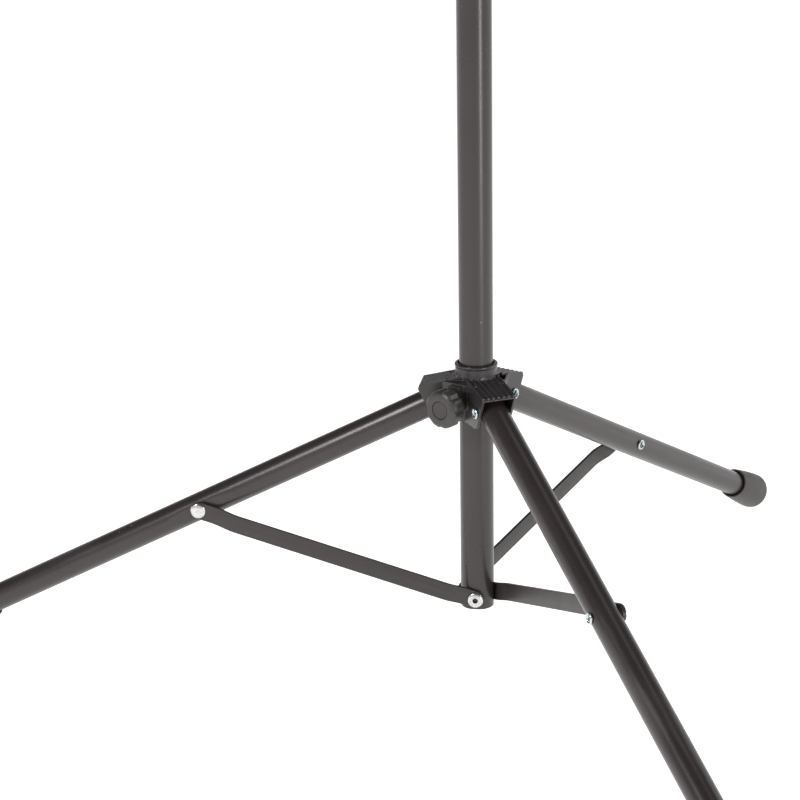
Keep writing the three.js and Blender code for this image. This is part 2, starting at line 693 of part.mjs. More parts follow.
// A plastic end plug with a rim as wide as the pole, turned over for the lower end.
function endPlug(rimHeight, edge) {
  const spigot = poleR - POLE_WALL - GAP;
  return turned([
    [0, -PLUG_DEPTH],
    [spigot - 0.8, -PLUG_DEPTH],
    [spigot, -PLUG_DEPTH + 1.5],
    [spigot, GAP],
    [poleR, GAP],
    [poleR, rimHeight - edge],
    [poleR - edge * 0.3, rimHeight - edge * 0.3],
    [poleR - edge, rimHeight],
    [0, rimHeight],
  ], SIDES.ring);
}

// ---- Assembly -----------------------------------------------------------------------------
const stand = new THREE.Group();

stand.add(piece('lower_tube', lowerTube(), paint));
stand.add(piece('mast_collar', collar(), casting));
stand.add(piece('mast_collar_bush', collarBush(), nylon));
stand.add(piece('collar_rivet_right', collarRivet(0), zinc));
stand.add(piece('collar_rivet_left', collarRivet(180), zinc));

const mastClamp = clamp('mast_clamp', poleR);
mastClamp.position.z = mastTop + COLLAR_KNOB_Z;
mastClamp.rotation.z = rad(KNOB_AZIMUTH - 90);
stand.add(mastClamp);

stand.add(piece('upper_tube', poleTube(), paint));
const topCap = piece('top_cap', alongZ(endPlug(CAP_HEIGHT, CAP_EDGE)), plastic);
topCap.position.z = poleTop;
const bottomPlug = piece('upper_tube_plug', alongZ(endPlug(2, 0.8)), nylon);
bottomPlug.position.z = poleBottom;
bottomPlug.rotation.x = Math.PI;
stand.add(topCap, bottomPlug);

const hubPiece = piece('hub', hub(), casting);
hubPiece.position.z = pivotZ;
const hubClamp = clamp('hub_clamp', mastR);
hubClamp.position.z = pivotZ + HUB_KNOB_Z;
hubClamp.rotation.z = rad(KNOB_AZIMUTH - 90);
stand.add(hubPiece, hubClamp);

for (const [name, azimuth] of Object.entries(LEGS)) {
  const pivot = piece(`hub_pivot_${name}`, hubPivot(), zinc);
  pivot.position.set(pivotR, 0, pivotZ);
  const spoke = group(leg(name), brace(name), mastRivet(name), pivot);
  spoke.rotation.z = rad(azimuth);
  stand.add(spoke);
}

// The origin is the middle of the footprint, on the floor.
const extent = new THREE.Box3().setFromObject(stand, true);
const middle = extent.getCenter(new THREE.Vector3());
stand.position.set(-middle.x, -middle.y, 0);

export default stand;
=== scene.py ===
# Looks of a folding speaker tripod stand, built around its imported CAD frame. Shapes are drawn in
# millimetres in their own frames and placed in metres from the frame's joints.
import json
import math

import bmesh
import bpy
from mathutils import Matrix, Vector


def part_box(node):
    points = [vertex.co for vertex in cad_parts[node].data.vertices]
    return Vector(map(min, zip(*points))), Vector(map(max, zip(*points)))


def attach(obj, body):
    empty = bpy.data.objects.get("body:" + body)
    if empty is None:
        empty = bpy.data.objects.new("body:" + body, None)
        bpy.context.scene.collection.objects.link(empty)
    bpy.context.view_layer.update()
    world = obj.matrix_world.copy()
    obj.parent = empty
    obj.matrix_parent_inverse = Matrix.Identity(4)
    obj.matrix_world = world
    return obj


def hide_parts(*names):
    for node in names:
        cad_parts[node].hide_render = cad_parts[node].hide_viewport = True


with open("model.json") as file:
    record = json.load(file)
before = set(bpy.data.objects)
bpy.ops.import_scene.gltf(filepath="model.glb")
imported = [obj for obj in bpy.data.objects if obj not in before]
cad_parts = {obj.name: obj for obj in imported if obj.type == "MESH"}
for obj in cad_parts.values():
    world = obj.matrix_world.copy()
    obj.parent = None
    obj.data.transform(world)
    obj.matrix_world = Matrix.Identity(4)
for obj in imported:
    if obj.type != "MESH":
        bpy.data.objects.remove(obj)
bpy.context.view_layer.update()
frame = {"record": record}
record = frame["record"]

MM = 0.001
GAP = 0.3

# ---- Sizes ----------------------------------------------------------------------------------
LEG_SLOPE = math.radians(26.4)
LEG_R, LEG_WALL, LEG_LENGTH, LEG_HEEL = 15.75, 1.5, 662, 12
BRACE_AT = 308
LEG_FLAT, LEG_FLAT_HALF, LEG_FLAT_FADE = 14.2, 15, 34
FOOT_LENGTH, FOOT_END, FOOT_LIP_R, FOOT_END_R = 63, 6, 19.6, 23.2
FOOT_MOUTH, FOOT_MOUTH_DEPTH = 1.6, 7

MAST_R, MAST_WALL = 19, 1.2
MAST_FLAT, MAST_FLAT_FADE = 17.4, 28
POLE_R, POLE_WALL = 17.5, 1.5

PIVOT_R = 45
HUB_R, HUB_BORE_R, HUB_MOUTH_R, HUB_MOUTH_DEPTH = 24.15, 19.5, 20.7, 9
HUB_TOP, HUB_BOTTOM = 44.5, -19
HUB_LIP, HUB_LIP_STEP = 3.6, 0.7
ROOF_SLOPE, ROOF_AT_PIVOT = math.radians(12.5), 25.28
ARM_WIDTH, ARM_WALL, ARM_OUT = 40, 3, 63.5
ARM_ROOT, ARM_FOOT, ARM_FOOT_Z = 8, 46, -17.2
RIB_COUNT, RIB_WIDTH, RIB_HEIGHT = 7, 2.8, 1.4
WEB_OUT, WEB_TOP, WEB_THICK, WEB_POCKET = 35, 27.5, 8, 5

BAR_HALF, BAR_THICK, BAR_OFFSET = 10, 3.5, 22
BAR_RISE, BAR_FALL = (12, 36), (48, 17)
WASHER_R = 8.5
SHANK_R, THREAD_STEP, THREAD_DEPTH = 4, 0.625, 0.45
BIG_HEAD, SMALL_HEAD = (8.9, 3.2), (6.6, 2.4)
MAST_HEAD_BORE_R, MAST_HEAD_BORE_DEPTH = 2.8, 4
TAIL = {"radius": 6.5, "height": 2.4, "bore": 3.9, "depth": 7}

KNOB_R, KNOB_DEPTH, KNOB_LOBES, SCOOP_DEPTH = 21.5, 18.5, 8, 1.75
NECK_R, NECK_LENGTH, KNOB_CLEAR = 9.5, 2.8, 1
KNOB_CAP_R, KNOB_CAP_THICK, KNOB_CAP_SUNK = 9.8, 2, 0.5
PAD_R, PAD_THICK, PAD_TRAVEL = 5.6, 2.8, 2.5
BOSS_R, BOSS_OUT, HUB_KNOB_Z = 10, 46, 5

COLLAR_BELOW, COLLAR_KNOB_Z = 40, 20
COLLAR_SWELL, COLLAR_BORE_R = 2, 20.7
COLLAR_RIVET = {"head": 3.6, "height": 1.6, "shank": 2.2}
BUSH_DEPTH, BUSH_WALL, BUSH_LIP, BUSH_RISE = 14, 2.6, 1.6, 1.8
PLUG_DEPTH = 22
TOP_CAP, GUIDE_PLUG = (6, 2.2), (2, 0.8)  # how far each stands out of its tube, and its rounded edge

# ---- Places, from the frame -----------------------------------------------------------------
joints = {joint["name"]: joint for joint in record["behaviour"]["joints"]}
body_of_node = {
    node: body for body, nodes in record["behaviour"]["bodies"].items() for node in nodes
}

mast_foot = Vector(joints["brace_fold_rear"]["pos_m"])
AXIS = Vector((mast_foot.x, mast_foot.y, 0))
BRACE_PIVOT_Z = mast_foot.z / MM
PIVOT_Z = joints["leg_fold_rear"]["pos_m"][2] / MM
MAST_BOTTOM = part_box("lower_tube")[0].z / MM
MAST_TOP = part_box("lower_tube")[1].z / MM
COLLAR_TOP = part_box("mast_collar")[1].z / MM
POLE_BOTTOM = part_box("upper_tube")[0].z / MM
POLE_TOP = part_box("upper_tube")[1].z / MM


def azimuth_of(leg):
    out = Vector(joints[f"leg_fold_{leg}"]["pos_m"]) - AXIS
    return math.atan2(out.y, out.x)


LEGS = {leg: azimuth_of(leg) for leg in ("rear", "left", "right")}
KNOB_AZIMUTH = -math.pi / 2


def turn(angle, axis="Z"):
    return Matrix.Rotation(angle, 4, axis)


def shift(x=0.0, y=0.0, z=0.0):
    """A move given in millimetres."""
    return Matrix.Translation(Vector((x, y, z)) * MM)


def spoke(leg):
    """A leg's plane: +X runs out from the mast axis and +Y to the brace's side."""
    return Matrix.Translation(AXIS) @ turn(LEGS[leg])


# ---- Mesh building --------------------------------------------------------------------------
def object_from(name, points, faces, sharp=35):
    mesh = bpy.data.meshes.new(name)
    mesh.from_pydata([Vector(p) * MM for p in points], [], faces)
    tidy_mesh(mesh, sharp)
    made = bpy.data.objects.new(name, mesh)
    bpy.context.scene.collection.objects.link(made)
    return made


def tidy_mesh(mesh, sharp):
    bm = bmesh.new()
    bm.from_mesh(mesh)
    bmesh.ops.remove_doubles(bm, verts=bm.verts, dist=1e-7)
    bmesh.ops.recalc_face_normals(bm, faces=bm.faces)
    bm.to_mesh(mesh)
    bm.free()
    mesh.shade_smooth()
    mesh.set_sharp_from_angle(angle=math.radians(sharp))


def filleted(corners, closed=False, steps=5):
    """Points of a polyline; a corner (x, y, r) is rounded with a fillet that starts r away."""
    points = []
    count = len(corners)
    for i, corner in enumerate(corners):
        x, y, radius = (*corner, 0)[:3]
        here = Vector((x, y))
        if not radius or (not closed and i in (0, count - 1)):
            points.append((x, y))
            continue
        back = Vector(corners[i - 1][:2]) - here
        ahead = Vector(corners[(i + 1) % count][:2]) - here
        start = here + back.normalized() * min(radius, back.length * 0.49)
        end = here + ahead.normalized() * min(radius, ahead.length * 0.49)
        for k in range(steps + 1):
            t = k / steps
            at = start * (1 - t) ** 2 + here * 2 * t * (1 - t) + end * t**2
            points.append((at.x, at.y))
    return points


def lathe(profile, segments=72, closed=False):
    """Points and faces of a profile of (radius, height) turned about Z."""
    points, rings, faces = [], [], []
    for radius, height in profile:
        if radius < 1e-6:
            rings.append([len(points)] * segments)
            points.append((0, 0, height))
            continue
        rings.append(list(range(len(points), len(points) + segments)))
        for i in range(segments):
            angle = 2 * math.pi * i / segments
            points.append((radius * math.cos(angle), radius * math.sin(angle), height))
    pairs = list(zip(rings, rings[1:] + rings[:1])) if closed else list(zip(rings, rings[1:]))
    for low, high in pairs:
        for i in range(segments):
            j = (i + 1) % segments
            face = list(dict.fromkeys((low[i], low[j], high[j], high[i])))
            if len(face) > 2:
                faces.append(face)
    return points, faces


def turned(name, corners, segments=72, closed=False, sharp=35):
    return object_from(name, *lathe(filleted(corners, closed), segments, closed), sharp)


def prism(outline, low, high):
    """A closed solid: an outline of (x, z) points extruded along Y."""
    count = len(outline)
    points = [(x, low, z) for x, z in outline] + [(x, high, z) for x, z in outline]
    faces = [list(range(count)), list(range(2 * count - 1, count - 1, -1))]
    faces += [[i, (i + 1) % count, (i + 1) % count + count, i + count] for i in range(count)]
    return points, faces


def block(x0, x1, y0, y1, z0, z1):
    return prism([(x0, z0), (x1, z0), (x1, z1), (x0, z1)], y0, y1)


def rod(radius, low, high, segments=64):
    return lathe([(0, low), (radius, low), (radius, high), (0, high)], segments)


def moved(solid, *matrices):
    """A solid's points moved by matrices, the last one first."""
    whole = Matrix.Identity(4)
    for matrix in matrices:
        whole = whole @ matrix
    points, faces = solid
    return [whole @ Vector(p) for p in points], faces


def slide(x=0.0, y=0.0, z=0.0):
    """A move for points that are still in millimetres."""
    return Matrix.Translation((x, y, z))


def evaluated(source, name):
    """The object's mesh with its modifiers applied, in a new object; the old one goes."""
    graph = bpy.context.evaluated_depsgraph_get()
    mesh = bpy.data.meshes.new_from_object(source.evaluated_get(graph))
    made = bpy.data.objects.new(name, mesh)
    bpy.context.scene.collection.objects.link(made)
    bpy.data.objects.remove(source)
    return made


def joined(name, solids):
    points, faces = [], []
    for solid_points, solid_faces in solids:
        start = len(points)
        points += [tuple(p) for p in solid_points]
        faces += [[start + i for i in face] for face in solid_faces]
    return object_from(name, points, faces)


def casting(name, added, cut, voxel=0.4, smooth=3, keep=0.3):
    """Solids joined and cut, then remeshed and smoothed so that every edge is a soft cast edge."""
    body = joined(f"{name}_raw", added)
    remesh = body.modifiers.new("join", "REMESH")
    remesh.mode = "VOXEL"
    remesh.voxel_size = voxel * MM
    body = evaluated(body, f"{name}_whole")
    tools = []
    for i, solid in enumerate(cut):
        tool = object_from(f"{name}_cut_{i}", *solid)
        boolean = body.modifiers.new("cut", "BOOLEAN")
        boolean.operation = "DIFFERENCE"
        boolean.solver = "MANIFOLD"
        boolean.object = tool
        tools.append(tool)
    remesh = body.modifiers.new("remesh", "REMESH")
    remesh.mode = "VOXEL"
    remesh.voxel_size = voxel * MM
    remesh.use_smooth_shade = True
    soften = body.modifiers.new("soften", "SMOOTH")
    soften.factor = 0.5
    soften.iterations = smooth
    thin = body.modifiers.new("thin", "DECIMATE")
    thin.ratio = keep
    even = body.modifiers.new("even", "WEIGHTED_NORMAL")
    even.weight = 60
    body = evaluated(body, name)
    for tool in tools:
        bpy.data.objects.remove(tool)
    return body


def place(piece, node, matrix, finish):
    """Puts a piece in the frame, on its CAD node's body and in its slot, with its material."""
    piece.matrix_world = matrix
    piece.data.materials.clear()
    piece.data.materials.append(finish)
    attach(piece, body_of_node[node])
    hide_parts(node)
    return piece


# ---- Materials ------------------------------------------------------------------------------
class Finish:
    """A Principled material with short calls for the nodes that its patterns need."""

    def __init__(self, name, color, roughness, **sockets):
        self.material = bpy.data.materials.new(name)
        self.material.use_nodes = True
        self.tree = self.material.node_tree
        self.shader = self.tree.nodes["Principled BSDF"]
        self.set("Base Color", (*color, 1))
        self.set("Roughness", roughness)
        for socket, value in sockets.items():
            self.set(socket.replace("_", " ").title(), value)
        self.place = self.node("ShaderNodeTexCoord").outputs["Object"]

    def node(self, kind, **inputs):
        made = self.tree.nodes.new(kind)
        for socket, value in inputs.items():
            self.feed(made.inputs[socket], value)
        return made

    def feed(self, socket, value):
        if isinstance(value, bpy.types.NodeSocket):
            self.tree.links.new(value, socket)
        else:
            socket.default_value = value

    def set(self, socket, value):
        self.feed(self.shader.inputs[socket], value)

    def stretched(self, scale):
        mapping = self.node("ShaderNodeMapping", Vector=self.place)
        mapping.inputs["Scale"].default_value = scale
        return mapping.outputs["Vector"]

    def noise(self, scale, detail=4.0, roughness=0.55, at=None):
        made = self.node("ShaderNodeTexNoise", Vector=at or self.place, Scale=scale)
        made.inputs["Detail"].default_value = detail
        made.inputs["Roughness"].default_value = roughness
        return made.outputs["Fac"]

    def cells(self, scale):
        made = self.node("ShaderNodeTexVoronoi", Vector=self.place, Scale=scale)
        return made.outputs["Distance"]

    def spread(self, value, low, high, to_low=0.0, to_high=1.0):
        made = self.node("ShaderNodeMapRange", Value=value)
        for socket, number in zip(
            ("From Min", "From Max", "To Min", "To Max"), (low, high, to_low, to_high)
        ):
            made.inputs[socket].default_value = number
        return made.outputs["Result"]

    def math(self, operation, a, b=0.0):
        made = self.node("ShaderNodeMath")
        made.operation = operation
        self.feed(made.inputs[0], a)
        self.feed(made.inputs[1], b)
        return made.outputs["Value"]

    def blend(self, share, a, b):
        made = self.node("ShaderNodeMix")
        made.data_type = "RGBA"
        self.feed(made.inputs["Factor"], share)
        self.feed(made.inputs["A"], a if isinstance(a, bpy.types.NodeSocket) else (*a, 1))
        self.feed(made.inputs["B"], b if isinstance(b, bpy.types.NodeSocket) else (*b, 1))
        return made.outputs["Result"]

    def bumps(self, *layers):
        """Layers of (height, strength, distance in millimetres), one over the other."""
        normal = None
        for height, strength, distance in layers:
            made = self.node("ShaderNodeBump", Height=height)
            made.inputs["Strength"].default_value = strength
            made.inputs["Distance"].default_value = distance * MM
            if normal:
                self.feed(made.inputs["Normal"], normal)
            normal = made.outputs["Normal"]
        self.set("Normal", normal)


def tube_paint(name, along):
    """Satin black powder coat on drawn tube: a fine orange peel, rub marks and a few specks."""
    color = (0.028, 0.0215, 0.0208)
    finish = Finish(name, color, 0.4)
    drawn = tuple(3.5 if axis == along else 26.0 for axis in range(3))
    rubbed = finish.spread(finish.noise(1.0, 6, 0.62, finish.stretched(drawn)), 0.60, 0.74)
    cloud = finish.noise(9, 5)
    specks = finish.spread(finish.cells(85), 0.075, 0.045)
    rare = finish.math("MULTIPLY", specks, finish.spread(finish.noise(21, 2), 0.60, 0.66))
    tone = finish.blend(finish.spread(cloud, 0.3, 0.7), color, tuple(1.22 * c for c in color))
    worn = finish.blend(finish.math("MULTIPLY", rubbed, 0.34), tone, (0.105, 0.094, 0.09))
    flecked = finish.blend(finish.math("MULTIPLY", rare, 0.8), worn, (0.34, 0.25, 0.18))
    finish.set("Base Color", flecked)
    satin = finish.spread(cloud, 0.25, 0.75, 0.25, 0.31)
    finish.set("Roughness", finish.math("ADD", satin, finish.math("MULTIPLY", rubbed, 0.12)))
    finish.bumps((finish.noise(620, 3), 0.08, 0.1), (finish.noise(90, 2), 0.04, 0.2))
    return finish.material


def casting_paint(name):
    """Satin black paint over a die casting: coarser skin, thin light edges that are partly wear and
    partly a painted highlight.
    """
    color = (0.024, 0.0205, 0.0200)
    finish = Finish(name, color, 0.3)
    cloud = finish.noise(40, 5)
    # Sharp edges and rib crests found by pointiness: partly paint worn through, partly a painted
    # highlight.
    edge = finish.spread(finish.node("ShaderNodeNewGeometry").outputs["Pointiness"], 0.58, 0.67)
    broken = finish.spread(finish.noise(260, 4), 0.40, 0.62, 0.15, 0.85)
    edge_wear_and_highlight = finish.math("MULTIPLY", edge, broken)
    tone = finish.blend(finish.spread(cloud, 0.3, 0.7), color, (0.033, 0.030, 0.0295))
    # The light grey on the edges is worn paint and a painted highlight together.
    worn = finish.blend(finish.math("MULTIPLY", edge_wear_and_highlight, 0.7), tone, (0.20, 0.186, 0.18))
    finish.set("Base Color", worn)
    finish.set("Roughness", finish.spread(cloud, 0.3, 0.7, 0.25, 0.35))
    finish.bumps((finish.noise(480, 4), 0.08, 0.08), (finish.noise(70, 3), 0.08, 0.3))
    return finish.material


def bar_paint(name):
    """Satin black paint on sheared strip: lengthwise roller lines and small chips."""
    color = (0.026, 0.0205, 0.0197)
    finish = Finish(name, color, 0.4)
    lines = finish.noise(1.0, 5, 0.6, finish.stretched((6.0, 300.0, 300.0)))
    cloud = finish.noise(30, 5)
    chips = finish.math(
        "MULTIPLY",
        finish.spread(finish.cells(170), 0.10, 0.06),
        finish.spread(finish.noise(30, 2), 0.60, 0.64),
    )
    tone = finish.blend(finish.spread(lines, 0.35, 0.65), color, (0.033, 0.027, 0.026))
    chipped = finish.blend(finish.math("MULTIPLY", chips, 0.6), tone, (0.3, 0.25, 0.21))
    finish.set("Base Color", chipped)
    finish.set("Roughness", finish.spread(cloud, 0.3, 0.7, 0.36, 0.46))
    finish.bumps((lines, 0.10, 0.06), (finish.noise(700, 3), 0.10, 0.1))
    return finish.material


def zinc(name, hollow=0.0, tint=(0.30, 0.60, 0.72)):
    """Bright zinc plate with a soft hammered skin; a rivet's hollow has the blue passivation, and
    given a dark tint it has painted shade instead.
    """
    finish = Finish(name, (0.62, 0.62, 0.60), 0.22, metallic=1.0)
    cloud = finish.noise(420, 4)
    tone = finish.blend(finish.spread(cloud, 0.35, 0.68), (0.66, 0.65, 0.63), (0.46, 0.46, 0.46))
    if hollow:
        apart = finish.node("ShaderNodeSeparateXYZ", Vector=finish.place)
        square = finish.math(
            "ADD",
            finish.math("POWER", finish.math("ABSOLUTE", apart.outputs["X"]), 2.0),
            finish.math("POWER", finish.math("ABSOLUTE", apart.outputs["Z"]), 2.0),
        )
        radius = finish.math("SQRT", square)
        # Inside the hollow's radius the colour turns to the tint: blue passivation on the tails,
        # painted shade where the tint is dark.
        inside = finish.spread(radius, hollow * MM, (hollow - 0.5) * MM)
        tone = finish.blend(inside, tone, tint)
    finish.set("Base Color", tone)
    finish.set("Roughness", finish.spread(cloud, 0.3, 0.7, 0.16, 0.32))
    finish.bumps((finish.noise(170, 2), 0.05, 0.08), (finish.noise(1500, 2), 0.03, 0.02))
    return finish.material


def threaded_steel(name):
    """Plain rolled thread, a little dull and uneven."""
    finish = Finish(name, (0.42, 0.42, 0.43), 0.34, metallic=1.0)
    cloud = finish.noise(300, 4)
    finish.set("Base Color", finish.blend(cloud, (0.50, 0.50, 0.51), (0.30, 0.29, 0.29)))
    finish.set("Roughness", finish.spread(cloud, 0.3, 0.7, 0.28, 0.45))
    finish.bumps((finish.noise(900, 3), 0.15, 0.05))
    return finish.material


def moulded(name, color, roughness, grain=900.0):
    """Moulded plastic: a fine spark-eroded grain, faint flow clouds and handling marks."""
    finish = Finish(name, color, roughness)
    cloud = finish.noise(75, 5)
    light = tuple(1.35 * c for c in color)
    finish.set("Base Color", finish.blend(finish.spread(cloud, 0.32, 0.7), color, light))
    finish.set("Roughness", finish.spread(cloud, 0.3, 0.7, roughness - 0.05, roughness + 0.07))
    finish.bumps((finish.noise(grain, 5, 0.7), 0.3, 0.08), (finish.noise(130, 3), 0.1, 0.3))
    return finish.material


def foot_rubber(name):
    """Moulded rubber: matt, faintly dusty, with small scuffs."""
    color = (0.038, 0.031, 0.0305)
    finish = Finish(name, color, 0.5)
    dust = finish.spread(finish.noise(60, 6, 0.65), 0.42, 0.70)
    scuffs = finish.spread(finish.noise(1.0, 6, 0.7, finish.stretched((160, 420, 420))), 0.62, 0.72)
    tone = finish.blend(finish.math("MULTIPLY", dust, 0.55), color, (0.08, 0.071, 0.07))
    scuffed = finish.blend(finish.math("MULTIPLY", scuffs, 0.3), tone, (0.15, 0.14, 0.136))
    finish.set("Base Color", scuffed)
    finish.set("Roughness", finish.spread(dust, 0, 1, 0.42, 0.56))
    finish.bumps((finish.noise(1100, 4, 0.65), 0.35, 0.1), (finish.noise(160, 4), 0.2, 0.35))
    return finish.material


MAST_PAINT = tube_paint("mast_paint", 2)
LEG_PAINT = tube_paint("leg_paint", 0)
CASTING = casting_paint("casting_paint")
BAR_PAINT = bar_paint("bar_paint")
ZINC = zinc("zinc_plate")
ZINC_TAIL = zinc("zinc_tail", TAIL["bore"])
# Mast rivet heads: the dark tint in the bore is painted shade in the hole.
ZINC_SHADED_BORE = zinc("zinc_shaded_bore", 3.1, tint=(0.10, 0.10, 0.09))
STEEL = threaded_steel("stud_steel")
KNOB_PLASTIC = moulded("knob_plastic", (0.034, 0.0285, 0.028), 0.40)
CAP_PLASTIC = moulded("cap_plastic", (0.030, 0.0255, 0.0252), 0.5, 1400.0)
NYLON = moulded("black_nylon", (0.022, 0.022, 0.023), 0.45, 600.0)
RUBBER = foot_rubber("foot_rubber")


# ---- Tubes ----------------------------------------------------------------------------------
def smooth_step(x):
    x = min(max(x, 0.0), 1.0)
    return x * x * (3 - 2 * x)


def soft_limit(height, limit, soft=0.5):
    """Height held under a limit, with a rounded change of about the given size."""
    over = (height - limit) / soft
    if over > 20:
        return limit
    return height - soft * math.log1p(math.exp(over))


def pressed(points, sides, radius, wall, flat, share_at):
    """Tube points about Z with flats pressed in on the given sides."""
    made = []
    for x, y, z in points:
        share = share_at(z)
        inner = wall if math.hypot(x, y) < radius - wall / 2 else 0
        for side in sides:
            if share <= 0:
                break
            along = x * math.cos(side) + y * math.sin(side)
            limit = radius - (radius - flat) * share - inner
            if along > limit - 4:
                lower = soft_limit(along, limit + 0.25) - along
                lower *= smooth_step(share * 6)
                x += lower * math.cos(side)
                y += lower * math.sin(side)
        made.append((x, y, z))
    return made


def tube(name, radius, wall, stations, edge=0.45, segments=96, press=None):
    """An open tube about Z with rounded rims and an inner wall."""
    low, high = stations[0], stations[-1]
    inner = radius - wall
    between = [z for z in stations if low + 1 < z < high - 1]
    corners = [(radius, low, edge), *((radius, z) for z in between), (radius, high, edge)]
    corners += [(inner, high, edge), *((inner, z) for z in reversed(between)), (inner, low, edge)]
    points, faces = lathe(filleted(corners, closed=True, steps=3), segments, closed=True)
    if press:
        points = press(points)
    return object_from(name, points, faces, 40)


def steps(low, high, step):
    count = max(1, round((high - low) / step))
    return [low + (high - low) * i / count for i in range(count + 1)]


def lower_tube():
    flats_low = BRACE_PIVOT_Z + BAR_HALF
    flats_high = flats_low + MAST_FLAT_FADE
    stations = [
        *steps(MAST_BOTTOM, flats_low, 4),
        *steps(flats_low, flats_high + 4, 1.6)[1:],
        *steps(flats_high + 4, MAST_TOP, 120)[1:],
    ]
    sides = [azimuth + math.pi / 2 for azimuth in LEGS.values()]

    def press(points):
        return pressed(
            points, sides, MAST_R, MAST_WALL, MAST_FLAT,
            lambda z: 1 - smooth_step((z - flats_low) / MAST_FLAT_FADE),
        )

    made = tube("lower_tube_fine", MAST_R, MAST_WALL, stations, press=press)
    place(made, "lower_tube", Matrix.Translation(AXIS), MAST_PAINT)


def upper_tube():
    stations = steps(POLE_BOTTOM, POLE_TOP, 120)
    made = tube("upper_tube_fine", POLE_R, POLE_WALL, stations)
    place(made, "upper_tube", Matrix.Translation(AXIS), MAST_PAINT)


def leg_place(leg):
    """A leg's own frame: +X along the leg from the hub pivot, +Z away from the floor."""
    return spoke(leg) @ shift(PIVOT_R, 0, PIVOT_Z) @ turn(LEG_SLOPE, "Y")


def leg_tube(leg):
    """A leg, pressed flat on its bar's side around the rivet."""
    reach = LEG_FLAT_HALF + LEG_FLAT_FADE + 4
    end = LEG_LENGTH - FOOT_END
    stations = [
        *steps(-LEG_HEEL, BRACE_AT - reach, 60),
        *steps(BRACE_AT - reach, BRACE_AT + reach, 2)[1:],
        *steps(BRACE_AT + reach, end, 60)[1:],
    ]

    def press(points):
        return pressed(
            points, [math.pi / 2], LEG_R, LEG_WALL, LEG_FLAT,
            lambda z: 1 - smooth_step((abs(z - BRACE_AT) - LEG_FLAT_HALF) / LEG_FLAT_FADE),
        )

    made = tube(f"leg_tube_{leg}_fine", LEG_R, LEG_WALL, stations, segments=72, press=press)
    made.data.transform(turn(math.pi / 2, "Y"))
    place(made, f"leg_tube_{leg}", leg_place(leg), LEG_PAINT)


def leg_foot(leg):
    """A rubber foot: an open lip round the tube, a swelling side and a round-edged sole."""
    start = LEG_LENGTH - FOOT_LENGTH
    mouth = LEG_R + FOOT_MOUTH
    bore = LEG_R + GAP
    bulge = []
    for i in range(15):
        share = i / 14
        grown = math.sin(share * math.pi / 2)
        bulge.append(
            (FOOT_LIP_R + (FOOT_END_R - FOOT_LIP_R) * grown, start + 2 + (FOOT_LENGTH - 8) * share)
        )
    corners = [
        (0, LEG_LENGTH - FOOT_END + GAP),
        (bore, LEG_LENGTH - FOOT_END + GAP),
        (bore, start + FOOT_MOUTH_DEPTH, 0.6),
        (mouth, start + FOOT_MOUTH_DEPTH - 2, 0.8),
        (mouth, start, 0.7),
        (FOOT_LIP_R - 0.3, start, 1.1),
        *bulge,
        (FOOT_END_R - 0.3, LEG_LENGTH - 2.2, 2.0),
        (FOOT_END_R - 4.2, LEG_LENGTH, 2.6),
        (0, LEG_LENGTH),
    ]
    made = turned(f"leg_foot_{leg}_fine", corners, 96, sharp=40)
    made.data.transform(leg_place(leg) @ turn(math.pi / 2, "Y"))
    cut_at_floor(made)
    place(made, f"leg_foot_{leg}", Matrix.Identity(4), RUBBER)


def cut_at_floor(piece):
    """Grinds the sole flat where it would reach below the floor."""
    bm = bmesh.new()
    bm.from_mesh(piece.data)
    cut = bmesh.ops.bisect_plane(
        bm, geom=bm.verts[:] + bm.edges[:] + bm.faces[:], plane_co=(0, 0, 0), plane_no=(0, 0, -1),
        clear_outer=True,
    )
    rim = [part for part in cut["geom_cut"] if isinstance(part, bmesh.types.BMEdge)]
    bmesh.ops.contextual_create(bm, geom=rim)
    bm.to_mesh(piece.data)
    bm.free()
    tidy_mesh(piece.data, 40)


# ---- Brace bars -----------------------------------------------------------------------------
def brace_ends():
    out = PIVOT_R + BRACE_AT * math.cos(LEG_SLOPE)
    up = PIVOT_Z - BRACE_AT * math.sin(LEG_SLOPE) - BRACE_PIVOT_Z
    return math.hypot(out, up), math.atan2(up, out)


BAR_LENGTH, BAR_SLOPE = brace_ends()
BAR_AT_MAST, BAR_AT_LEG = MAST_FLAT + GAP, LEG_R + GAP


def bar_offset(x):
    """Inner face of a bar, from its leg's plane, at a place along it."""
    rise = smooth_step((x - BAR_RISE[0]) / (BAR_RISE[1] - BAR_RISE[0]))
    fall_from = BAR_LENGTH - BAR_FALL[0]
    fall = smooth_step((x - fall_from) / (BAR_FALL[0] - BAR_FALL[1]))
    offset = BAR_AT_MAST + (BAR_OFFSET - BAR_AT_MAST) * rise
    return offset - (BAR_OFFSET - BAR_AT_LEG) * fall


